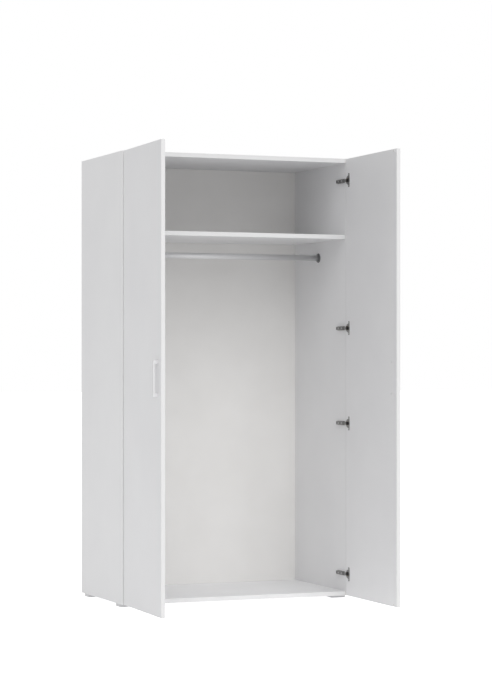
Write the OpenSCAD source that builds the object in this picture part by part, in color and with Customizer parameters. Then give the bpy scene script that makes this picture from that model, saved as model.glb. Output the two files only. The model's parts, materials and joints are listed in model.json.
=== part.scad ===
// Two-door wardrobe of foil-faced chipboard, drawn with both doors standing open.
// Millimetres. The origin is on the floor under the centre of the carcass,
// the doors are on the -Y side and +Z is up.

/* [Carcass] */
// Overall width of the carcass
body_w = 1010; // [880:10:1240]
// Depth of the carcass with its back panel, without the doors
body_d = 540; // [460:10:680]
// Overall height from the floor
body_h = 1850; // [1660:10:2250]
// Thickness of the side, top and bottom panels and of the shelf
board_t = 18; // [17:1:22]
// Thickness of the back panel
back_t = 3; // [2.5:0.5:6]
// How far the back panel stays inside the carcass outline
back_inset = 2; // [1:0.5:5]

/* [Shelf and rail] */
// Height of the space above the shelf
top_space_h = 302; // [200:2:420]
// How far the shelf's front edge stands back
shelf_setback = 8; // [0:1:40]
// Outer diameter of the clothes rail
rail_d = 25; // [20:1:30]
// Wall of the rail tube
rail_wall = 1.2; // [0.8:0.1:2]
// Distance from the carcass front to the rail's centre
rail_from_front = 282; // [200:2:330]
// Distance from the shelf's underside down to the rail's centre
rail_drop = 68; // [45:1:110]
// Diameter of the rail support's round plate
support_d = 40; // [36:1:50]

/* [Feet] */
// Height of the feet
foot_h = 12; // [8:1:25]
// Size of a foot across the wardrobe
foot_w = 62; // [45:1:90]
// Size of a foot from front to back
foot_l = 52; // [40:1:90]
// Gap from the side panel's outer face to a foot
foot_side_inset = 2; // [1:1:6]
// Gap from the carcass front or back to a foot
foot_end_inset = 40; // [20:1:90]

/* [Doors] */
// Thickness of a door
door_t = 16; // [16:1:19]
// Gap between a closed door and the carcass front
door_gap = 3; // [2.8:0.1:4]
// How far a closed door stays inside the carcass outline
door_reveal = 1.5; // [1:0.5:3]
// Gap between the two closed doors
middle_gap = 3; // [2:0.5:6]
// How far the left door stands open
left_open = 92.5; // [0:0.5:98]
// How far the right door stands open
right_open = 89; // [0:0.5:98]

/* [Handles] */
// Width of a handle
handle_w = 12; // [9:1:20]
// How far a handle stands out from the door
handle_out = 19; // [14:1:30]
// Thickness of the handle's grip
grip_t = 6; // [4:0.5:9]
// Distance between the two handle screws
screw_spacing = 128; // [88:8:200]
// Length of each leg of a handle, along the door
handle_leg = 14; // [11:1:20]
// Distance from the door's free edge to the handle's centre line
handle_edge = 48; // [25:1:90]

/* [Hinges] */
// Distance from the carcass bottom and top to the end hinges
hinge_end = 92; // [70:1:160]
// Height of the lower middle hinge above the carcass bottom
hinge_mid = 725; // [560:5:800]
// Distance between the two middle hinges
hinge_mid_gap = 400; // [200:5:460]
// Diameter of the hinge cup
cup_d = 35; // [35:1:40]
// Depth of the cup's bore in the door
cup_depth = 13; // [12.9:0.1:13.5]
// Board left between the cup and the door's edge
cup_edge = 3; // [3:0.5:5]
// Length of the cup's flange along the door
flange_l = 58; // [54:1:70]
// Distance from the carcass front to the mounting plate's first screw
plate_line = 37; // [37:1:45]

/* [Fastenings] */
// Diameter of a cam housing
cam_d = 15; // [12:1:16]
// Distance from a panel's end to the centre of its cam
cam_inset = 34; // [24:1:40]
// Distance from a panel's front or back edge to its cam bolts
cam_from_edge = 60; // [50:1:68]
// Diameter of a dowel
dowel_d = 8; // [6:1:8]
// Length of a dowel
dowel_l = 30; // [24:1:36]
// Largest spacing of the nails along the back panel
nail_pitch = 160; // [100:10:220]

/* [Hidden] */
$fn = 48;
SIDES = ["left", "right"];
ENDS = ["front", "back"];
HINGES = [1:4];

// Carcass
panel_d = body_d - back_t;         // the boards stop at the back panel
front_y = -body_d / 2;             // plane of the carcass front edges
board_back_y = front_y + panel_d;
carcass_z = foot_h;                // underside of the carcass
carcass_h = body_h - foot_h;
inner_w = body_w - 2 * board_t;
shelf_top_z = body_h - board_t - top_space_h;
shelf_d = panel_d - shelf_setback;

// Rail
rail_y = front_y + rail_from_front;
rail_z = shelf_top_z - board_t - rail_drop;
support_t = 2.5;                   // plate of a rail support
socket_l = 6;                      // length of the ring that holds the rail
socket_wall = 2;
slide_clear = 0.1;                 // clearance of the rail in its ring
support_screw_r = 1.75;
support_screw_l = 14;
support_head_r = 3;
support_screw_at = rail_d / 2 - rail_wall - support_head_r - 0.8; // heads stay inside the rail

// Doors, measured from the hinge pin: x towards the middle, y into the wardrobe
door_w = body_w / 2 - door_reveal - middle_gap / 2;
door_h = carcass_h - 2 * door_reveal;
door_z = carcass_z + door_reveal;
pin_in = 7.9;                      // pin to the door's hinge edge
pin_deep = 10;                     // pin to the door's inner face
outer_y = pin_deep - door_t;
carcass_y = pin_deep + door_gap;
pin_x = door_reveal + pin_in;      // pin to the carcass outline
panel_x = board_t - pin_x;         // inner face of the side panel

// Hinge hardware
cup_x = cup_edge + cup_d / 2 - pin_in;
cup_floor = pin_deep - cup_depth;
pocket_x0 = -3.6;                  // the opening inside the cup
pocket_x1 = cup_x + cup_d / 2 - 3;
pocket_half = 8;
cup_skin = 0.6;                    // floor of the cup
flange_t = 0.8;
flange_x1 = cup_x + 16;
pin_r = 1.2;
pin_clear = 0.05;
pin_half = 10.2;
eye_r = 2.1;
arm_t = 1.8;                       // sheet of the arm
arm_half = 6;                      // half width of the gooseneck
plate_t = 2;                       // sheet of the mounting plate
leg_x = max(14.2, panel_x + plate_t + arm_t / 2 + 0.3); // the gooseneck's leg clears the plate
channel_x = panel_x + 9.5;         // outer face of the arm's channel
channel_half = 7;
plate_y = carcass_y + plate_line;
channel_y0 = carcass_y + 12;
channel_y1 = plate_y + 41;
plate_half = 8.5;                  // half width of the mounting plate
plate_rim = 1.5;                   // plate showing at each end of the channel
channel_x0 = panel_x + plate_t + 0.2; // the channel's edges stay clear of the mounting plate
plate_screws_y = [plate_y, plate_y + 32];
plate_head_r = 3.4;
plate_access_r = plate_head_r + 0.4; // holes over the plate's screws
block_half = channel_half - arm_t - 0.1; // the plate's raised block fits inside the channel
block_top = channel_x - arm_t;
arm_screws_y = [plate_y - 14, plate_y + 17];
cup_screw_x = cup_x + 9.5;
cup_screw_z = cup_d / 2 + 5;
cup_screw_head_r = 3.2;
wood_screw_r = 1.75;
cup_screw_l = 11;
plate_screw_l = 13;
HINGE_Z = [
    carcass_z + hinge_end,
    carcass_z + hinge_mid,
    carcass_z + hinge_mid + hinge_mid_gap,
    carcass_z + carcass_h - hinge_end
];

// Handles
handle_x = door_w - pin_in - handle_edge;
handle_z = door_z + door_h / 2;
handle_l = screw_spacing + handle_leg;
handle_screw_r = 2;
handle_bite = 8;                   // thread inside the handle's leg

// Fastenings
cam_depth = 12.5;
bolt_shaft_r = 3.5;
bolt_bore_r = 4;
bolt_thread_r = 2.5;
bolt_bite = 11;                    // thread in the side panel
dowel_bite = 10;                   // dowel in the side panel
nail_r = 0.8;
nail_l = 20;
foot_nail_r = 1.1;
foot_nail_bite = 16;               // hole for a foot nail in the board
foot_nail_inset = 13;              // nail to the foot's end, and to the side panel for the inner one
foot_nail_sink = 5;                // recess for the nail's head in the foot
foot_nail_head_r = 2.6;
foot_nail_head_t = 1.2;
bumper_r = 4.5;
bumper_t = 2.4;

// Front-to-back places of the fastenings of each horizontal board, and its cam side:
// +1 when the cams are on the board's upper face, -1 when they are underneath
BOARDS = [
    [carcass_z, front_y, -1],
    [shelf_top_z - board_t, front_y + shelf_setback, -1],
    [body_h - board_t, front_y, 1]
];

// ---------- shared shapes ----------

// Draws the children as they are for the left side and mirrored for the right
module on_side(side) {
    if (side == "left") children();
    else mirror([1, 0, 0]) children();
}

// Puts the children at a hinge line, turned by an opening angle
module at_pin(side, open) {
    on_side(side)
        translate([pin_x - body_w / 2, front_y - carcass_y, 0])
            rotate([0, 0, -open])
                children();
}

// Puts the children on an open door
module on_door(side) {
    at_pin(side, side == "left" ? left_open : right_open)
        children();
}

module board(size, at) {
    translate(at)
        cube(size);
}

// A cylinder along +X
module rod_x(r, l) {
    rotate([0, 90, 0])
        cylinder(r = r, h = l);
}

// A cylinder along +Y
module rod_y(r, l) {
    rotate([-90, 0, 0])
        cylinder(r = r, h = l);
}

// Countersunk screw pointing along -Y, its head flush with y = 0
module screw_down_y(r, l, head_r) {
    head_h = head_r - r;
    rotate([90, 0, 0]) {
        cylinder(r = r, h = l);
        cylinder(r1 = head_r, r2 = r, h = head_h);
    }
}

// Both ends of each horizontal board, with x running inwards from the side panel's inner face
module at_board_ends(b) {
    for (side = SIDES)
        on_side(side)
            translate([-inner_w / 2, 0, b[0] + board_t / 2])
                children();
}

function cam_rows(b) = [b[1] + cam_from_edge, board_back_y - cam_from_edge];
function dowel_rows(b) = [b[1] + cam_from_edge + 48, board_back_y - cam_from_edge - 48];

// Holes that a horizontal board needs for its cams, bolts and dowels
module board_joints(b) {
    at_board_ends(b) {
        for (y = cam_rows(b)) translate([0, y, 0]) {
            translate([-1, 0, 0]) rod_x(bolt_bore_r, cam_inset + 1);
            translate([cam_inset, 0, b[2] * board_t / 2]) cam_pocket(b[2], cam_d / 2 + 0.05);
        }
        for (y = dowel_rows(b)) translate([-1, y, 0]) rod_x(dowel_d / 2, dowel_l - dowel_bite + 2);
    }
}

// A round pocket or plug that reaches into the board from one of its faces
module cam_pocket(face, r) {
    translate([0, 0, face > 0 ? -cam_depth : 0])
        cylinder(r = r, h = cam_depth);
}

// ---------- carcass ----------

module side_panel(side) {
    color("whitesmoke")
    difference() {
        on_side(side)
            board([board_t, panel_d, carcass_h], [-body_w / 2, front_y, carcass_z]);
        for (b = BOARDS) at_board_ends(b) {
            for (y = cam_rows(b)) translate([-bolt_bite, y, 0]) rod_x(bolt_thread_r, bolt_bite + 1);
            for (y = dowel_rows(b)) translate([-dowel_bite, y, 0]) rod_x(dowel_d / 2, dowel_bite + 1);
        }
        on_side(side) {
            support_screw_places() rod_x(support_screw_r, support_screw_l - support_t + 1);
            foot_nail_places("side") cylinder(r = foot_nail_r, h = foot_nail_bite);
        }
        at_pin(side, 0) plate_screw_places()
            translate([panel_x - plate_screw_l + plate_t, 0, 0]) rod_x(wood_screw_r, plate_screw_l);
        back_nail_places() rod_y(nail_r, nail_l);
    }
}

module horizontal_board(b, depth) {
    difference() {
        board([inner_w, depth, board_t], [-inner_w / 2, b[1], b[0]]);
        board_joints(b);
        back_nail_places() rod_y(nail_r, nail_l);
    }
}

module bottom_panel() {
    color("whitesmoke")
    difference() {
        horizontal_board(BOARDS[0], panel_d);
        for (side = SIDES)
            on_side(side) foot_nail_places("bottom") cylinder(r = foot_nail_r, h = foot_nail_bite);
    }
}

module shelf() {
    color("whitesmoke") horizontal_board(BOARDS[1], shelf_d);
}

module top_panel() {
    color("whitesmoke") horizontal_board(BOARDS[2], panel_d);
}

module back_panel() {
    color("ivory")
    difference() {
        board([body_w - 2 * back_inset, back_t, carcass_h - 2 * back_inset],
              [-body_w / 2 + back_inset, board_back_y, carcass_z + back_inset]);
        back_nail_places() rod_y(nail_r, nail_l);
    }
}

// ---------- clothes rail ----------

module clothes_rail() {
    color("silver")
    translate([-inner_w / 2 + support_t, rail_y, rail_z])
    difference() {
        rod_x(rail_d / 2, inner_w - 2 * support_t);
        translate([-1, 0, 0]) rod_x(rail_d / 2 - rail_wall, inner_w);
    }
}

// Screw places of a rail support, at the side panel's inner face, pointing into the panel
module support_screw_places() {
    for (dz = [-1, 1])
        translate([-inner_w / 2 - support_screw_l + support_t, rail_y, rail_z + dz * support_screw_at])
            children();
}

module rail_support(side) {
    ring_r = rail_d / 2 + slide_clear;
    color("dimgray")
    on_side(side)
    difference() {
        translate([-inner_w / 2, rail_y, rail_z]) {
            rod_x(support_d / 2, support_t);
            difference() {
                rod_x(ring_r + socket_wall, support_t + socket_l);
                translate([support_t, 0, 0]) rod_x(ring_r, socket_l + 1);
            }
        }
        support_screw_places() rod_x(support_screw_r, support_screw_l + 1);
    }
}

// Pan-head screws, their heads inside the rail's ring
module rail_support_screws() {
    color("silver")
    for (side = SIDES) on_side(side) support_screw_places() {
        rod_x(support_screw_r, support_screw_l);
        translate([support_screw_l, 0, 0]) rod_x(support_head_r, 1.6);
    }
}

// ---------- feet ----------

module foot_place(end, side) {
    y = end == "front" ? front_y + foot_end_inset : -front_y - foot_end_inset - foot_l;
    on_side(side)
        translate([-body_w / 2 + foot_side_inset, y, 0])
            children();
}

module foot(end, side) {
    edge = 3;
    color("gainsboro")
    difference() {
        foot_place(end, side)
            translate([edge, edge, 0])
                linear_extrude(foot_h)
                    offset(r = edge) square([foot_w - 2 * edge, foot_l - 2 * edge]);
        on_side(side) for (under = ["side", "bottom"])
            foot_nail_places(under) translate([0, 0, -foot_h]) foot_nail_bore();
    }
}

module foot_nail_bore() {
    cylinder(r = foot_nail_r, h = 3 * foot_h);
    translate([0, 0, -1]) cylinder(r = foot_nail_head_r + 0.4, h = foot_nail_sink + 1);
}

// Nail places at the carcass underside, for the left-hand feet: one nail per foot goes into
// the side panel's edge and one into the bottom panel
module foot_nail_places(under) {
    x = under == "side" ? -body_w / 2 + board_t / 2 : -inner_w / 2 + foot_nail_inset;
    y = front_y + foot_end_inset + foot_l - foot_nail_inset;
    for (end = ENDS)
        translate([x, end == "front" ? y : -y, carcass_z])
            children();
}

module foot_nails() {
    color("silver")
    for (side = SIDES, under = ["side", "bottom"]) on_side(side) foot_nail_places(under) {
        translate([0, 0, foot_nail_sink - foot_h])
            cylinder(r = foot_nail_r, h = foot_h - foot_nail_sink + foot_nail_bite - 1);
        translate([0, 0, foot_nail_sink - foot_nail_head_t - foot_h])
            cylinder(r = foot_nail_head_r, h = foot_nail_head_t);
    }
}

// ---------- doors and handles ----------

module door(side) {
    color("white")
    on_door(side)
    difference() {
        board([door_w, door_t, door_h], [-pin_in, outer_y, door_z]);
        for (z = HINGE_Z) translate([0, 0, z]) {
            translate([cup_x, cup_floor, 0]) rod_y(cup_d / 2, cup_depth + 1);
            cup_screw_places() screw_down_y(wood_screw_r, cup_screw_l, cup_screw_head_r);
        }
        handle_screw_places() rod_y(handle_screw_r + 0.25, door_t + 2);
    }
}

// Centres of the handle's screw holes, 1 mm outside the door's outer face
module handle_screw_places() {
    for (dz = [-1, 1])
        translate([handle_x, outer_y - 1, handle_z + dz * screw_spacing / 2])
            children();
}

// Bow handle: a flat grip with rounded ends on two legs
module handle(side) {
    round_r = 5;
    color("gainsboro")
    on_door(side)
    difference() {
        translate([handle_x - handle_w / 2, outer_y, handle_z])
            rotate([90, 0, 90])
                linear_extrude(handle_w)
                    mirror([1, 0]) difference() {
                        translate([0, -handle_l / 2]) handle_outline(handle_out, handle_l, round_r);
                        translate([-1, -handle_l / 2 + handle_leg])
                            square([handle_out - grip_t + 1, handle_l - 2 * handle_leg]);
                    }
        handle_screw_places()
            translate([0, 1 - handle_bite, 0]) rod_y(handle_screw_r, handle_bite + 1);
    }
}

// Outline with square corners at x = 0 and round ones at x = out
module handle_outline(out, length, r) {
    translate([0, r]) square([out, length - 2 * r]);
    square([out - r, length]);
    for (z = [r, length - r])
        translate([out - r, z]) circle(r);
}

module handle_screws(side) {
    head_t = 2.2;
    color("silver")
    on_door(side) handle_screw_places() translate([0, 1 - handle_bite, 0]) {
        rod_y(handle_screw_r, handle_bite + door_t);
        translate([0, handle_bite + door_t, 0]) rod_y(4, head_t);
    }
}

// Round pads that meet the front edges of the top and bottom panels
module door_bumpers(side) {
    from_free_edge = 24;
    color("lightgray")
    on_door(side) for (z = [carcass_z + board_t / 2, body_h - board_t / 2])
        translate([door_w - pin_in - from_free_edge, pin_deep, z]) rod_y(bumper_r, bumper_t);
}

// ---------- hinges ----------

// Cup with its flange, drawn round the pin at height 0
module hinge_cup(side, i) {
    color("darkgray")
    on_door(side) translate([0, 0, HINGE_Z[i - 1]])
    difference() {
        union() {
            translate([cup_x, cup_floor, 0]) rod_y(cup_d / 2 - 0.05, cup_depth);
            translate([0, pin_deep, 0]) flange();
        }
        translate([pocket_x0, cup_floor + cup_skin, -pocket_half])
            cube([pocket_x1 - pocket_x0, cup_depth + flange_t, 2 * pocket_half]);
        translate([0, 0, -pin_half]) cylinder(r = pin_r, h = 2 * pin_half);
        cup_screw_places() screw_down_y(wood_screw_r, cup_screw_l, cup_screw_head_r);
    }
}

// Sheet flange: a round rim and a wing for the two screws
module flange() {
    wing_w = 13;
    corner = 4;
    rotate([-90, 0, 0])
        linear_extrude(flange_t) {
            translate([cup_x, 0]) circle(cup_d / 2 + 0.6);
            translate([flange_x1 - wing_w + corner, corner - flange_l / 2])
                offset(r = corner) square([wing_w - 2 * corner, flange_l - 2 * corner]);
        }
}

// Screw places of a cup, on the flange's face at the height of the pin's middle
module cup_screw_places() {
    for (dz = [-1, 1])
        translate([cup_screw_x, pin_deep + flange_t, dz * cup_screw_z]) children();
}

module hinge_pins(side) {
    color("silver")
    on_door(side) for (z = HINGE_Z)
        translate([0, 0, z - pin_half]) cylinder(r = pin_r, h = 2 * pin_half);
}

module cup_screws(side) {
    color("silver")
    on_door(side) for (z = HINGE_Z)
        translate([0, 0, z])
            cup_screw_places() screw_down_y(wood_screw_r, cup_screw_l, cup_screw_head_r);
}

// Arm: an eye on the pin, a gooseneck out of the cup and a channel over the mounting plate
module hinge_arm(side, i) {
    half_t = arm_t / 2;
    color("silver")
    at_pin(side, 0) translate([0, 0, HINGE_Z[i - 1]])
    difference() {
        union() {
            translate([0, 0, -arm_half]) linear_extrude(2 * arm_half) {
                circle(eye_r);
                translate([0, -half_t]) square([leg_x, arm_t]);
                translate([leg_x, 0]) circle(half_t);
                translate([leg_x - half_t, 0]) square([arm_t, channel_y0]);
                translate([leg_x - half_t, channel_y0 - arm_t])
                    square([max(arm_t, channel_x - leg_x + half_t), arm_t]);
            }
            translate([channel_x0, channel_y0 - arm_t, -channel_half])
                cube([channel_x - channel_x0, channel_y1 - channel_y0 + arm_t, 2 * channel_half]);
        }
        translate([0, channel_y0, arm_t - channel_half])
            cube([channel_x - arm_t, channel_y1, 2 * (channel_half - arm_t)]);
        translate([0, 0, -arm_half - 1]) cylinder(r = pin_r + pin_clear, h = 2 * arm_half + 2);
        for (y = arm_screws_y) translate([0, y, 0]) rod_x(2.1, channel_x + 1);
        for (y = plate_screws_y)
            translate([channel_x - arm_t - 1, y, 0]) rod_x(plate_access_r, arm_t + 2);
    }
}

// Mounting plate: a strip in line with the arm, with a raised block inside the channel
module hinge_plate(side, i) {
    color("darkgray")
    at_pin(side, 0) translate([0, 0, HINGE_Z[i - 1]])
    difference() {
        union() {
            translate([panel_x, channel_y0 - plate_rim, -plate_half])
                cube([plate_t, channel_y1 - channel_y0 + 2 * plate_rim, 2 * plate_half]);
            translate([panel_x, channel_y0 + 2, -block_half])
                cube([block_top - panel_x, channel_y1 - channel_y0 - 4, 2 * block_half]);
        }
        for (y = plate_screws_y) translate([panel_x, y, 0]) {
            translate([-1, 0, 0]) rod_x(wood_screw_r, plate_t + 2);
            translate([plate_t, 0, 0]) rod_x(plate_access_r, channel_x);
        }
        for (y = arm_screws_y) translate([panel_x + 1, y, 0]) rod_x(2, channel_x);
    }
}

// Screw places of the mounting plates, at x = 0
module plate_screw_places() {
    for (z = HINGE_Z, y = plate_screws_y)
        translate([0, y, z]) children();
}

module plate_screws(side) {
    color("silver")
    at_pin(side, 0) plate_screw_places() {
        translate([panel_x + plate_t - plate_screw_l, 0, 0]) rod_x(wood_screw_r, plate_screw_l);
        translate([panel_x + plate_t, 0, 0]) rod_x(plate_head_r, 1.8);
    }
}

module arm_screws(side) {
    color("silver")
    at_pin(side, 0) for (z = HINGE_Z, y = arm_screws_y) translate([0, y, z]) {
        translate([panel_x + 1, 0, 0]) rod_x(2, channel_x - panel_x - 1);
        translate([channel_x, 0, 0]) rod_x(3.8, 1.6);
    }
}

// ---------- fastenings of the boards ----------

// Eccentric housings, each with a hole across it for the bolt's head
module cam_housings() {
    color("gray")
    for (b = BOARDS) at_board_ends(b) for (y = cam_rows(b))
        translate([cam_inset, y, b[2] * board_t / 2])
        difference() {
            cam_pocket(b[2], cam_d / 2 - 0.05);
            translate([-cam_d, 0, -b[2] * board_t / 2]) rod_x(bolt_bore_r, cam_d + 1);
            translate([0, 0, b[2] > 0 ? -0.5 : 0.5]) cross_slot(7, 1.6, 2);
        }
}

// Cross recess, centred on a point and starting 1 mm below it
module cross_slot(l, w, depth) {
    for (a = [0, 90]) rotate([0, 0, a])
        translate([-l / 2, -w / 2, -1]) cube([l, w, depth]);
}

module cam_bolts() {
    head_l = 3;
    color("silver")
    for (b = BOARDS) at_board_ends(b) for (y = cam_rows(b)) translate([0, y, 0]) {
        translate([-bolt_bite, 0, 0]) rod_x(bolt_thread_r, bolt_bite);
        rod_x(bolt_shaft_r, cam_inset - 6);
        translate([cam_inset - 6, 0, 0]) rod_x(2, 3);
        translate([cam_inset - 3, 0, 0]) rod_x(3.3, head_l);
    }
}

module dowels() {
    color("burlywood")
    for (b = BOARDS) at_board_ends(b) for (y = dowel_rows(b))
        translate([-dowel_bite, y, 0]) rod_x(dowel_d / 2, dowel_l);
}

// Nail places on the back panel's rear face, round the edge and along the shelf,
// placed where a nail starts inside the boards and runs towards +Y
module back_nail_places() {
    y = body_d / 2 - nail_l;
    x_end = body_w / 2 - board_t / 2;
    z_low = carcass_z + board_t / 2;
    z_high = body_h - board_t / 2;
    rows = ceil((z_high - z_low) / nail_pitch);
    columns = ceil(2 * x_end / nail_pitch);
    for (k = [1:rows - 1], sx = [-1, 1])
        translate([sx * x_end, y, z_low + k * (z_high - z_low) / rows]) children();
    for (k = [1:columns - 1], z = [z_low, shelf_top_z - board_t / 2, z_high])
        translate([-x_end + k * 2 * x_end / columns, y, z]) children();
}

module back_nails() {
    color("silver")
    back_nail_places() {
        rod_y(nail_r, nail_l);
        translate([0, nail_l, 0]) rod_y(2.2, 0.8);
    }
}

// ---------- assembly ----------

for (side = SIDES) {
    side_panel(side);
    rail_support(side);
    door(side);
    handle(side);
    handle_screws(side);
    hinge_pins(side);
    cup_screws(side);
    plate_screws(side);
    arm_screws(side);
    door_bumpers(side);
}
for (side = SIDES, end = ENDS)
    foot(end, side);
for (side = SIDES, i = HINGES) {
    hinge_cup(side, i);
    hinge_arm(side, i);
    hinge_plate(side, i);
}
bottom_panel();
shelf();
top_panel();
back_panel();
clothes_rail();
rail_support_screws();
cam_housings();
cam_bolts();
dowels();
back_nails();
foot_nails();
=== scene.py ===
"""A white wardrobe with two hinged doors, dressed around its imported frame."""
import json
import math

import bmesh
import bpy
from mathutils import Matrix, Vector


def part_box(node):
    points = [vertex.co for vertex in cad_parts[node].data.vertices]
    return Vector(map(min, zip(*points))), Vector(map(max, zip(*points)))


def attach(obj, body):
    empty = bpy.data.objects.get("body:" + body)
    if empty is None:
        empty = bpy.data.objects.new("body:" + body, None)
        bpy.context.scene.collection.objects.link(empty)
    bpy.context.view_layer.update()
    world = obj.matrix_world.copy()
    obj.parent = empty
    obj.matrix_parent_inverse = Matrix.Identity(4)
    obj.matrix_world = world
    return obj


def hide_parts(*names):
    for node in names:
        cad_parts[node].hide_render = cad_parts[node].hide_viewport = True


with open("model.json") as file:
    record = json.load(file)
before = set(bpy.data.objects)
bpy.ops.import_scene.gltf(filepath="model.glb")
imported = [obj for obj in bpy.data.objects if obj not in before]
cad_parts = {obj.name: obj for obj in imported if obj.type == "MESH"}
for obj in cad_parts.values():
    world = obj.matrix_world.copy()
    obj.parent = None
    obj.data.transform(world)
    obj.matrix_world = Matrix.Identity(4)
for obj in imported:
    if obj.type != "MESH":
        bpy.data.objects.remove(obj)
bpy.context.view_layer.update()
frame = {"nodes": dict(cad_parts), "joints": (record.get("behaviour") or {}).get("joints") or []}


# ------------------------------------------------------------------ the view
# A long lens at chest height, well back and to the wardrobe's left, so that the
# open left door is seen from outside and the right one from inside.
camera_data = bpy.data.cameras.new("camera")
camera_data.lens = 113.66
camera_data.sensor_width = 36.0
camera_data.shift_y = 0.0171
camera = bpy.data.objects.new("camera", camera_data)
camera.location = (-3.4133, -8.7266, 0.9948)
camera.rotation_euler = (math.radians(90), 0, math.radians(-22.175))
bpy.context.scene.collection.objects.link(camera)
bpy.context.scene.camera = camera


# ---------------------------------------------------------- boards of the carcass
# Chipboard panels faced with white foil. The edges that can be seen carry a thin
# plastic band with its arris rounded over; hidden edges and bores show bare chips.
BAND_ROUND = 0.0008      # metres, as every size in this file
ON_OUTLINE = 0.00005     # a corner this near the board's outline lies on it
OUTLINE_GAP = 0.0012     # a face this near belongs to it, so that rounded arrises do
SAME_POINT = 0.00001
SAME_PLANE = 0.5         # degrees


def node_tree(name):
    """A material with its Principled shader and helpers to add and join nodes."""
    material = bpy.data.materials.new(name)
    material.use_nodes = True
    tree = material.node_tree

    def add(kind, **sockets):
        node = tree.nodes.new("ShaderNode" + kind)
        for key, value in sockets.items():
            node.inputs[key].default_value = value
        return node

    return material, tree.nodes["Principled BSDF"], add, tree.links.new


def speckle(add, join, scale, detail=3.0, rough=0.55, stretch=(1, 1, 1)):
    """Noise in the piece's own metres, stretched along chosen axes."""
    place = add("TexCoord")
    mapping = add("Mapping", Scale=stretch)
    noise = add("TexNoise", Scale=scale, Detail=detail, Roughness=rough)
    join(place.outputs["Object"], mapping.inputs["Vector"])
    join(mapping.outputs["Vector"], noise.inputs["Vector"])
    return noise


def two_tone(add, join, factor, shader, dark, light, low=0.3, high=0.7):
    """Colours the shader between a dark and a light tone as the factor goes low to high."""
    ramp = add("ValToRGB")
    ramp.color_ramp.elements[0].position = low
    ramp.color_ramp.elements[1].position = high
    ramp.color_ramp.elements[0].color = (*dark, 1)
    ramp.color_ramp.elements[1].color = (*light, 1)
    join(factor, ramp.inputs["Fac"])
    join(ramp.outputs["Color"], shader.inputs["Base Color"])


def vary_roughness(add, join, factor, shader, smooth, dull):
    """Spreads the shader's roughness from smooth to dull as the factor goes 0 to 1."""
    spread = add("MapRange")
    spread.inputs["To Min"].default_value = smooth
    spread.inputs["To Max"].default_value = dull
    join(factor, spread.inputs["Value"])
    join(spread.outputs["Result"], shader.inputs["Roughness"])


def add_bump(add, join, height, shader, depth, strength):
    """Relief of a given depth in metres."""
    bump = add("Bump", Strength=strength, Distance=depth)
    join(height, bump.inputs["Height"])
    join(bump.outputs["Normal"], shader.inputs["Normal"])


def foil_material(name, dark, light):
    """White foil pressed on chipboard: even, with the chips just telegraphing through."""
    material, shader, add, join = node_tree(name)
    tone = speckle(add, join, scale=3.5, detail=2.0)
    two_tone(add, join, tone.outputs["Fac"], shader, dark, light)
    chips = speckle(add, join, scale=260.0, detail=4.0)
    vary_roughness(add, join, chips.outputs["Fac"], shader, smooth=0.36, dull=0.5)
    add_bump(add, join, chips.outputs["Fac"], shader, depth=0.00006, strength=0.5)
    return material


def band_material(name, stretch):
    """Edge band: plain plastic strip, a little glossier, with faint lines drawn along it."""
    material, shader, add, join = node_tree(name)
    lines = speckle(add, join, scale=700.0, detail=2.0, stretch=stretch)
    two_tone(add, join, lines.outputs["Fac"], shader,
             dark=(0.72, 0.72, 0.722), light=(0.75, 0.75, 0.752))
    vary_roughness(add, join, lines.outputs["Fac"], shader, smooth=0.28, dull=0.38)
    add_bump(add, join, lines.outputs["Fac"], shader, depth=0.00002, strength=0.4)
    return material


def chipboard_material():
    """Sawn chipboard: flakes of pale and dark wood with open gaps between them."""
    material, shader, add, join = node_tree("bare_chipboard")
    place = add("TexCoord")
    flakes = add("TexVoronoi", Scale=430.0, Randomness=1.0)
    join(place.outputs["Object"], flakes.inputs["Vector"])
    two_tone(add, join, flakes.outputs["Color"], shader,
             dark=(0.36, 0.24, 0.13), light=(0.66, 0.50, 0.33), low=0.1, high=0.9)
    shader.inputs["Roughness"].default_value = 0.85
    add_bump(add, join, flakes.outputs["Distance"], shader, depth=0.0004, strength=0.6)
    return material


foil = foil_material("white_foil", (0.775, 0.775, 0.785), (0.80, 0.80, 0.808))
upright_band = band_material("upright_band", (1, 1, 0.02))
level_band = band_material("level_band", (0.02, 1, 1))
chipboard = chipboard_material()


def outline_sides(point, low, high, gap):
    """The outline planes, as (axis, end), that a point lies on."""
    return {(axis, end) for axis in range(3) for end, bound in ((-1, low), (1, high))
            if abs(point[axis] - bound[axis]) < gap}


def cleaned_copy(name):
    """A CAD node's mesh with its loose triangles joined into whole flat faces."""
    bm = bmesh.new()
    bm.from_mesh(frame["nodes"][name].data)
    bmesh.ops.remove_doubles(bm, verts=bm.verts, dist=SAME_POINT)
    bmesh.ops.dissolve_limit(bm, angle_limit=math.radians(SAME_PLANE), verts=bm.verts,
                             edges=bm.edges)
    for face in bm.faces:
        face.smooth = False
    return bm


def show(bm, name, materials, body, node=None):
    """Turns a bmesh into a piece that rides on a body and may stand for a CAD node."""
    mesh = bpy.data.meshes.new(name)
    bm.to_mesh(mesh)
    bm.free()
    for material in materials:
        mesh.materials.append(material)
    piece = bpy.data.objects.new(name, mesh)
    bpy.context.scene.collection.objects.link(piece)
    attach(piece, body)
    if node:
        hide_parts(node)
    return piece


X, Y, Z = 0, 1, 2
FOIL, BAND, BARE = 0, 1, 2      # a board's materials, in their order on the piece


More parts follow.
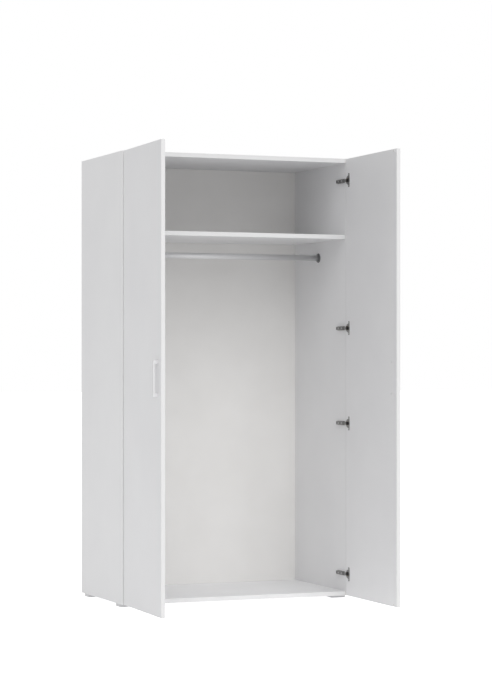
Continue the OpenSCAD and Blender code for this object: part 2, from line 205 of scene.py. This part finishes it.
def finish_board(bm, through, bare_sides):
    """Rounds a board's outer arrises and marks its faces foil, band or bare chips.
    through is the axis of its thickness; bare_sides are the edges without a band."""
    low = Vector([min(v.co[i] for v in bm.verts) for i in range(3)])
    high = Vector([max(v.co[i] for v in bm.verts) for i in range(3)])
    sides = {v: outline_sides(v.co, low, high, ON_OUTLINE) for v in bm.verts}
    arrises = [e for e in bm.edges if len(sides[e.verts[0]] & sides[e.verts[1]]) >= 2]
    rounded = bmesh.ops.bevel(bm, geom=arrises, offset=BAND_ROUND, segments=3, profile=0.5,
                              affect="EDGES", material=-1)
    for face in rounded["faces"]:
        face.smooth = True
    for face in bm.faces:
        axis = max(range(3), key=lambda i: abs(face.normal[i]))
        end = 1 if face.normal[axis] > 0 else -1
        centre = face.calc_center_median()
        if (axis, end) not in outline_sides(centre, low, high, OUTLINE_GAP):
            face.material_index = BARE
        elif axis == through:
            face.material_index = FOIL
        else:
            face.material_index = BARE if (axis, end) in bare_sides else BAND


CARCASS_BOARDS = {              # the axis of the thickness, and the edges left bare
    "side_panel_left": (X, {(Y, 1)}),
    "side_panel_right": (X, {(Y, 1)}),
    "top_panel": (Z, {(Y, 1), (X, -1), (X, 1)}),
    "bottom_panel": (Z, {(Y, 1), (X, -1), (X, 1)}),
    "shelf": (Z, {(Y, 1), (X, -1), (X, 1)}),
}
for name, (through, bare_sides) in CARCASS_BOARDS.items():
    bm = cleaned_copy(name)
    finish_board(bm, through, bare_sides)
    band = upright_band if through == X else level_band
    show(bm, name + "_board", [foil, band, chipboard], "carcass", name)


# ------------------------------------------------------------------ back panel
# Thin hardboard, lacquered white on the inside and left brown outside, where the
# screen it was pressed on leaves a fine net. It is nailed to the boards' rear edges.
def lacquer_material():
    """White lacquer rolled on the smooth side, a shade warmer than the foil."""
    material, shader, add, join = node_tree("white_lacquer")
    tone = speckle(add, join, scale=5.0, detail=2.0)
    two_tone(add, join, tone.outputs["Fac"], shader,
             dark=(0.785, 0.775, 0.760), light=(0.815, 0.806, 0.792))
    fibres = speckle(add, join, scale=420.0, detail=3.0)
    vary_roughness(add, join, fibres.outputs["Fac"], shader, smooth=0.42, dull=0.6)
    add_bump(add, join, fibres.outputs["Fac"], shader, depth=0.00005, strength=0.5)
    return material


def hardboard_material():
    """Brown pressed fibres with the fine net that the screen leaves in them."""
    material, shader, add, join = node_tree("brown_hardboard")
    fibres = speckle(add, join, scale=180.0, detail=6.0, rough=0.7)
    two_tone(add, join, fibres.outputs["Fac"], shader,
             dark=(0.20, 0.115, 0.06), light=(0.40, 0.26, 0.15), low=0.35)
    shader.inputs["Roughness"].default_value = 0.8
    place = add("TexCoord")
    heights = []
    for direction in ("X", "Z"):
        wave = add("TexWave", Scale=160.0, Distortion=0.4)
        wave.bands_direction = direction
        join(place.outputs["Object"], wave.inputs["Vector"])
        heights.append(wave.outputs["Fac"])
    net = add("Math")
    net.operation = "MULTIPLY"
    join(heights[0], net.inputs[0])
    join(heights[1], net.inputs[1])
    add_bump(add, join, net.outputs["Value"], shader, depth=0.00015, strength=0.6)
    return material


lacquer = lacquer_material()
hardboard = hardboard_material()
bm = cleaned_copy("back_panel")
for face in bm.faces:
    faces_inside = face.normal.y < -0.5
    face.material_index = 0 if faces_inside else 1
show(bm, "back_panel_sheet", [lacquer, hardboard], "carcass", "back_panel")


# ------------------------------------------------ fastenings of the carcass
# Zinc-plated bolts and nails, die-cast cams and beech dowels hold the boards.
# Most of each piece is inside a board; the cams' faces and nail heads show.
def plated_material(name, dark, light, smooth, dull, grain=900.0):
    """Plated or cast metal with fine marks from its making."""
    material, shader, add, join = node_tree(name)
    shader.inputs["Metallic"].default_value = 1.0
    marks = speckle(add, join, scale=grain, detail=4.0)
    two_tone(add, join, marks.outputs["Fac"], shader, dark, light)
    vary_roughness(add, join, marks.outputs["Fac"], shader, smooth, dull)
    add_bump(add, join, marks.outputs["Fac"], shader, depth=0.00002, strength=0.4)
    return material


def beech_material():
    """Turned beech, its grain drawn out along the dowel."""
    material, shader, add, join = node_tree("beech")
    grain = speckle(add, join, scale=600.0, detail=4.0, stretch=(0.08, 1, 1))
    two_tone(add, join, grain.outputs["Fac"], shader,
             dark=(0.52, 0.34, 0.19), light=(0.72, 0.54, 0.36))
    shader.inputs["Roughness"].default_value = 0.7
    return material


zinc = plated_material("zinc_plate", (0.50, 0.50, 0.52), (0.66, 0.66, 0.67),
                       smooth=0.25, dull=0.42)
cast_zinc = plated_material("cast_zinc", (0.38, 0.38, 0.39), (0.52, 0.52, 0.53),
                            smooth=0.4, dull=0.6, grain=500.0)
beech = beech_material()


def dress(name, material):
    """Gives a CAD node that is shown as it is its finish."""
    slots = frame["nodes"][name].data.materials
    slots.clear()
    slots.append(material)


for name in ("cam_bolts", "back_nails", "foot_nails", "rail_support_screws"):
    dress(name, zinc)
dress("cam_housings", cast_zinc)
dress("dowels", beech)


# ------------------------------------------------------------------------ feet
# Low moulded plastic pads, each nailed up through recesses into the side panel
# and the bottom panel. Their corners and edges are rounded by the mould.
FOOT_ROUND = 0.0012


def moulded_material(name, dark, light, smooth, dull):
    """Injection-moulded plastic with a fine spark-eroded skin."""
    material, shader, add, join = node_tree(name)
    skin = speckle(add, join, scale=1400.0, detail=2.0)
    two_tone(add, join, skin.outputs["Fac"], shader, dark, light)
    vary_roughness(add, join, skin.outputs["Fac"], shader, smooth, dull)
    add_bump(add, join, skin.outputs["Fac"], shader, depth=0.00003, strength=0.5)
    return material


def round_sharp_edges(bm, radius, segments=2, sharper_than=40):
    """Rounds the edges where two faces meet at more than a given angle."""
    sharp = [e for e in bm.edges if e.calc_face_angle(0) > math.radians(sharper_than)]
    rounded = bmesh.ops.bevel(bm, geom=sharp, offset=radius, segments=segments, profile=0.5,
                              affect="EDGES", material=-1, clamp_overlap=True)
    for face in rounded["faces"]:
        face.smooth = True


foot_plastic = moulded_material("foot_plastic", (0.66, 0.66, 0.67), (0.72, 0.72, 0.73),
                                smooth=0.45, dull=0.6)
for end in ("front", "back"):
    for side in ("left", "right"):
        name = f"foot_{end}_{side}"
        bm = cleaned_copy(name)
        round_sharp_edges(bm, FOOT_ROUND)
        show(bm, name + "_pad", [foot_plastic], "carcass", name)


# ------------------------------------------------------- clothes rail and supports
# A satin plated steel tube, held at each end in the ring of a dark lacquered
# support that is screwed to the side panel.
TUBE_WALL = 0.0012


def rail_plating_material():
    """Satin plating with faint lines along the tube, as it was drawn."""
    material, shader, add, join = node_tree("rail_plating")
    shader.inputs["Metallic"].default_value = 0.5
    drawn = speckle(add, join, scale=500.0, detail=3.0, stretch=(0.01, 1, 1))
    two_tone(add, join, drawn.outputs["Fac"], shader,
             dark=(0.70, 0.70, 0.71), light=(0.80, 0.80, 0.81))
    vary_roughness(add, join, drawn.outputs["Fac"], shader, smooth=0.34, dull=0.46)
    return material


def tube_along_x(low, high, segments=64):
    """An open tube skin that fills a box lying along X."""
    bm = bmesh.new()
    radius = (high.z - low.z) / 2
    centre = (low + high) / 2
    ring = bmesh.ops.create_circle(bm, segments=segments, radius=radius)["verts"]
    bmesh.ops.rotate(bm, verts=ring, matrix=Matrix.Rotation(math.radians(90), 3, "Y"))
    bmesh.ops.translate(bm, verts=ring, vec=(low.x, centre.y, centre.z))
    skin = bmesh.ops.extrude_edge_only(bm, edges=bm.edges)["geom"]
    moved = [v for v in skin if isinstance(v, bmesh.types.BMVert)]
    bmesh.ops.translate(bm, verts=moved, vec=(high.x - low.x, 0, 0))
    bmesh.ops.recalc_face_normals(bm, faces=bm.faces)
    for face in bm.faces:
        face.smooth = True
    return bm


rail_low, rail_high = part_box("clothes_rail")
rail_centre = (rail_low + rail_high) / 2
bm = tube_along_x(rail_low, rail_high)
rail = show(bm, "rail_tube", [rail_plating_material()], "carcass", "clothes_rail")
wall = rail.modifiers.new("wall", "SOLIDIFY")
wall.thickness = TUBE_WALL
wall.offset = -1


ON_THE_AXIS = 0.000001       # points that meet here when the outline has gone round


def spun_profile(points, axis, centre, steps=48):
    """A closed turned piece from its half outline, given as (along the axis, radius)."""
    bm = bmesh.new()
    along = Vector(axis)
    out = Vector((0, 0, 1)) if abs(along.z) < 0.5 else Vector((1, 0, 0))
    verts = [bm.verts.new(Vector(centre) + along * a + out * r) for a, r in points]
    edges = [bm.edges.new(pair) for pair in zip(verts, verts[1:])]
    bmesh.ops.spin(bm, geom=verts + edges, cent=centre, axis=axis, dvec=(0, 0, 0),
                   angle=math.tau, steps=steps, use_merge=True, use_duplicate=False)
    bmesh.ops.remove_doubles(bm, verts=bm.verts, dist=ON_THE_AXIS)
    bmesh.ops.recalc_face_normals(bm, faces=bm.faces)
    for face in bm.faces:
        face.smooth = True
    return bm


SUPPORT_PLATE = 0.0025
RIM_ROUND = [(-0.0008, 0), (-0.0002, -0.0004), (0, -0.0012)]     # (along the axis, outwards)
TUBE_PLAY = 0.0001
RING_WALL = 0.002
RING_FOOT = 0.001            # the slope from the plate up to the ring
RING_EDGE = 0.0006           # the bevel round the ring's outer edge
MOUTH_EDGE = 0.0005          # and the one inside, where the tube enters
support_lacquer = moulded_material("support_lacquer", (0.10, 0.10, 0.105), (0.15, 0.15, 0.155),
                                   smooth=0.32, dull=0.45)
for side, inward in (("left", 1), ("right", -1)):
    name = f"rail_support_{side}"
    low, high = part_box(name)
    wall_x = low.x if inward > 0 else high.x
    plate_r = (high.z - low.z) / 2
    ring_l = high.x - low.x
    tube_r = (rail_high.z - rail_low.z) / 2 + TUBE_PLAY
    ring_r = tube_r + RING_WALL
    rim = [(SUPPORT_PLATE + along, plate_r + outwards) for along, outwards in RIM_ROUND]
    profile = [(0, 0), (0, plate_r), *rim,
               (SUPPORT_PLATE, ring_r + RING_FOOT), (SUPPORT_PLATE + RING_FOOT, ring_r),
               (ring_l - RING_EDGE, ring_r), (ring_l, ring_r - RING_EDGE),
               (ring_l, tube_r + MOUTH_EDGE), (ring_l - MOUTH_EDGE, tube_r),
               (SUPPORT_PLATE, tube_r), (SUPPORT_PLATE, 0)]
    bm = spun_profile(profile, (inward, 0, 0), (wall_x, rail_centre.y, rail_centre.z))
    show(bm, name + "_ring", [support_lacquer], "carcass", name)


# ----------------------------------------------------------------------- doors
# Slabs of the same foiled chipboard, banded on all four edges, bored on the inside
# for the hinge cups. They are shaped shut and then swung open on their hinge pins.
joints = {joint["child"]: joint for joint in frame["joints"]}


def shutting(body):
    """The turn about the hinge pins that shuts a door."""
    joint = joints[body]
    pin = Matrix.Translation(joint["pos_m"])
    turn = Matrix.Rotation(math.radians(joint["range_deg"][0]), 4, Vector(joint["axis"]))
    return pin @ turn @ pin.inverted()


door_foil = foil_material("door_foil", (0.775, 0.775, 0.787), (0.80, 0.80, 0.810))
for side in ("left", "right"):
    body = f"door_{side}"
    shut = shutting(body)
    bm = cleaned_copy(body)
    bmesh.ops.transform(bm, matrix=shut, verts=bm.verts)
    bm.normal_update()
    finish_board(bm, Y, set())
    bmesh.ops.transform(bm, matrix=shut.inverted(), verts=bm.verts)
    show(bm, body + "_slab", [door_foil, upright_band, chipboard], body, body)


# --------------------------------------------------------------------- handles
# A slim moulded bow on each door, rounded all over, drawn tight to the face by
# two screws from inside, whose heads are painted white.
HANDLE_ROUND = 0.0016
handle_plastic = moulded_material("handle_plastic", (0.70, 0.70, 0.71), (0.74, 0.74, 0.75),
                                  smooth=0.3, dull=0.42)
screw_paint = moulded_material("screw_paint", (0.70, 0.70, 0.71), (0.76, 0.76, 0.77),
                               smooth=0.35, dull=0.5)

HEAD_GRID = 7                # a head is gridded so that a cross of its squares can be sunk
CROSS_SQUARES = 5            # from end to end of the cross
RECESS_DEPTH = 0.0009
RECESS_NARROWS = 0.75        # the cross's floor, as a share of its mouth


def screw_head(radius, rim, under, neck, crown):
    """A screw's head with a cross recess, its top at the origin facing up. It is
    straight for the rim's height, then narrows to the neck at its underside."""
    bm = bmesh.new()
    bmesh.ops.create_grid(bm, x_segments=HEAD_GRID, y_segments=HEAD_GRID, size=1)
    arm, half = CROSS_SQUARES / HEAD_GRID, 1 / HEAD_GRID
    cross = [f for f in bm.faces
             if sorted(abs(c) < half for c in f.calc_center_median()[:2])[1]
             and max(abs(c) for c in f.calc_center_median()[:2]) < arm]
    for v in bm.verts:
        x, y = v.co.x, v.co.y
        v.co = (x * math.sqrt(1 - y * y / 2), y * math.sqrt(1 - x * x / 2), 0)   # a disc
        v.co = v.co * radius - Vector((0, 0, crown * v.co.length_squared))
    sunk = bmesh.ops.extrude_face_region(bm, geom=cross)["geom"]
    bmesh.ops.delete(bm, geom=cross, context="FACES")
    floor_verts = [v for v in sunk if isinstance(v, bmesh.types.BMVert)]
    bmesh.ops.translate(bm, verts=floor_verts, vec=(0, 0, -RECESS_DEPTH))
    bmesh.ops.scale(bm, verts=floor_verts, vec=(RECESS_NARROWS, RECESS_NARROWS, 1))
    for drop, width in ((rim, 1), (under - rim, neck / radius)):
        edge = [e for e in bm.edges if e.is_boundary]
        skirt = bmesh.ops.extrude_edge_only(bm, edges=edge)["geom"]
        skirt_verts = [v for v in skirt if isinstance(v, bmesh.types.BMVert)]
        bmesh.ops.translate(bm, verts=skirt_verts, vec=(0, 0, -drop))
        bmesh.ops.scale(bm, verts=skirt_verts, vec=(width, width, 1))
        for face in {f for e in edge for f in e.link_faces}:
            face.smooth = True
    bmesh.ops.holes_fill(bm, edges=[e for e in bm.edges if e.is_boundary], sides=0)
    bmesh.ops.recalc_face_normals(bm, faces=bm.faces)
    mesh = bpy.data.meshes.new("screw_head")
    bm.to_mesh(mesh)
    bm.free()
    return mesh


def separate_screws(bm):
    """The screws of a node, each as a list of its vertices."""
    taken = set()
    for first in bm.verts:
        if first in taken:
            continue
        taken.add(first)
        screw = [first]
        for v in screw:
            joined = [e.other_vert(v) for e in v.link_edges if e.other_vert(v) not in taken]
            taken.update(joined)
            screw += joined
        yield screw


ONE_LEVEL = 0.00002          # points this near in height are on one level
ONE_RADIUS = 0.00005         # and this near in reach are on one cylinder
COUNTERSUNK_RIM = 0.0001
PAN_RIM = 0.35               # a pan head is straight for this share of its height
PAN_NECK = 0.98              # its underside, as a share of its radius
PAN_CROWN = 0.0004
SHAFT_SEGMENTS = 20


def recessed_screws(node, body, out, material, unturn=Matrix(), countersunk=False):
    """Makes a node's screws again with recessed heads. unturn lines them up with out,
    the way that their heads face."""
    out = Vector(out)
    turn = out.to_track_quat("Z", "Y").to_matrix().to_4x4()
    cad = cleaned_copy(node)
    bmesh.ops.transform(cad, matrix=unturn, verts=cad.verts)
    bm = bmesh.new()
    head = None
    for screw in separate_screws(cad):
        heights = [v.co.dot(out) for v in screw]
        top, tip = max(heights), min(heights)
        rim_points = [v.co.copy() for v in screw if v.co.dot(out) > top - ONE_LEVEL]
        centre = sum(rim_points, Vector()) / len(rim_points)
        reach = {v: (v.co - centre).cross(out).length for v in screw}
        head_r = max(reach.values())
        shaft_r = max(r for v, r in reach.items() if v.co.dot(out) < tip + ONE_LEVEL)
        if countersunk:
            under = head_r - shaft_r
            sizes = (COUNTERSUNK_RIM, under, shaft_r, 0)
        else:
            rim_heights = [v.co.dot(out) for v, r in reach.items() if r > head_r - ONE_RADIUS]
            under = top - min(rim_heights)
            sizes = (under * PAN_RIM, under, head_r * PAN_NECK, PAN_CROWN)
        head = head or screw_head(head_r, *sizes)
        place = Matrix.Translation(centre) @ turn
        placed_head = head.copy()
        placed_head.transform(place)
        bm.from_mesh(placed_head)
        length = top - tip - under / 2       # the shaft starts half way up the head
        middle = Matrix.Translation((0, 0, -(top - tip) + length / 2))
        bmesh.ops.create_cone(bm, cap_ends=True, segments=SHAFT_SEGMENTS, radius1=shaft_r,
                              radius2=shaft_r, depth=length, matrix=place @ middle)
    cad.free()
    bmesh.ops.transform(bm, matrix=unturn.inverted(), verts=bm.verts)
    show(bm, node + "_recessed", [material], body, node)


for side in ("left", "right"):
    name, body = f"handle_{side}", f"door_{side}"
    bm = cleaned_copy(name)
    round_sharp_edges(bm, HANDLE_ROUND, segments=4)
    show(bm, name + "_bow", [handle_plastic], body, name)
    recessed_screws(f"handle_screws_{side}", body, (0, 1, 0), screw_paint, shutting(body))


# ---------------------------------------------------------------------- hinges
# Nickel-plated steel, its colour set far darker than bright nickel as a painted dark
# reflection: a pressed cup let into the door, a cranked arm that reaches into it and
# turns on a pin, and a plate screwed to the side panel under the arm.
PRESSED_ROUND = 0.0003
HINGES_ON_A_DOOR = 4
# Painted dark reflection: the plating is coloured dark, not bright nickel, to stand in for dark
# surroundings mirrored in it.
nickel_painted_dark_reflection = plated_material("nickel_plate_painted_dark_reflection", (0.25, 0.248, 0.245), (0.31, 0.308, 0.303),
                         smooth=0.3, dull=0.42)
for side in ("left", "right"):
    for number in range(1, HINGES_ON_A_DOOR + 1):
        dress(f"hinge_cup_{side}_{number}", nickel_painted_dark_reflection)
        for part in ("arm", "plate"):
            name = f"hinge_{part}_{side}_{number}"
            bm = cleaned_copy(name)
            round_sharp_edges(bm, PRESSED_ROUND, sharper_than=50)
            show(bm, name + "_pressing", [nickel_painted_dark_reflection], "carcass", name)
    body = f"door_{side}"
    recessed_screws(f"cup_screws_{side}", body, (0, 1, 0), zinc, shutting(body), countersunk=True)
    inward = (1 if side == "left" else -1, 0, 0)
    recessed_screws(f"arm_screws_{side}", "carcass", inward, zinc)
    recessed_screws(f"plate_screws_{side}", "carcass", inward, zinc)
    dress(f"hinge_pins_{side}", zinc)


# --------------------------------------------------------------- door bumpers
# Small soft milky pads stuck inside each door's free corners, which meet the
# edges of the top and bottom panels without a knock.
bumper_soft = moulded_material("bumper_soft", (0.70, 0.70, 0.69), (0.76, 0.76, 0.75),
                               smooth=0.2, dull=0.3)
for side in ("left", "right"):
    dress(f"door_bumpers_{side}", bumper_soft)


# ---------------------------------------------------------------------- studio
# A pale floor that glows a little, even light from the white room round it, and
# broad soft light from in front: one low, one high and one from the left.
FLOOR_REACH = 60
FLOOR_GLOW = 0.3         # what the floor gives the wardrobe
FLOOR_SEEN = 0.8         # and what the camera sees of it
ROOM_LIGHT = 0.48
floor_mesh = bpy.data.meshes.new("floor")
bm = bmesh.new()
bmesh.ops.create_grid(bm, x_segments=1, y_segments=1, size=FLOOR_REACH)
bm.to_mesh(floor_mesh)
bm.free()
floor = bpy.data.objects.new("floor", floor_mesh)
bpy.context.scene.collection.objects.link(floor)
floor_white, shader, add, join = node_tree("floor_white")
shader.inputs["Base Color"].default_value = (0.9, 0.9, 0.9, 1)
shader.inputs["Roughness"].default_value = 0.9
shader.inputs["Emission Color"].default_value = (1, 1, 1, 1)
glow = add("MapRange")
glow.inputs["To Min"].default_value = FLOOR_GLOW
glow.inputs["To Max"].default_value = FLOOR_SEEN
join(add("LightPath").outputs["Is Camera Ray"], glow.inputs["Value"])
join(glow.outputs["Result"], shader.inputs["Emission Strength"])
floor_mesh.materials.append(floor_white)

world = bpy.data.worlds.new("studio")
bpy.context.scene.world = world
world.use_nodes = True
room = world.node_tree
room.nodes["Background"].inputs["Color"].default_value = (1, 1, 1, 1)
room.nodes["Background"].inputs["Strength"].default_value = ROOM_LIGHT
backdrop = room.nodes.new("ShaderNodeBackground")
backdrop.inputs["Color"].default_value = (1, 1, 1, 1)
seen = room.nodes.new("ShaderNodeLightPath")
mix = room.nodes.new("ShaderNodeMixShader")
room.links.new(seen.outputs["Is Camera Ray"], mix.inputs["Fac"])
room.links.new(room.nodes["Background"].outputs["Background"], mix.inputs[1])
room.links.new(backdrop.outputs["Background"], mix.inputs[2])
room.links.new(mix.outputs["Shader"], room.nodes["World Output"].inputs["Surface"])


def soft_light(name, turn, height, strength, spread=35):
    """Broad distant light: turn is to the right of straight in front, height above level."""
    data = bpy.data.lights.new(name, "SUN")
    data.energy = strength
    data.angle = math.radians(spread)
    turn, height = math.radians(turn), math.radians(height)
    towards = Vector((math.sin(turn) * math.cos(height), -math.cos(turn) * math.cos(height),
                      math.sin(height)))
    light = bpy.data.objects.new(name, data)
    light.rotation_euler = towards.to_track_quat("Z", "Y").to_euler()
    bpy.context.scene.collection.objects.link(light)


soft_light("front_low", turn=0, height=25, strength=0.40)
soft_light("front_high", turn=0, height=55, strength=0.76)
soft_light("left", turn=-30, height=35, strength=0.47)
bpy.context.scene.view_settings.view_transform = "Standard"
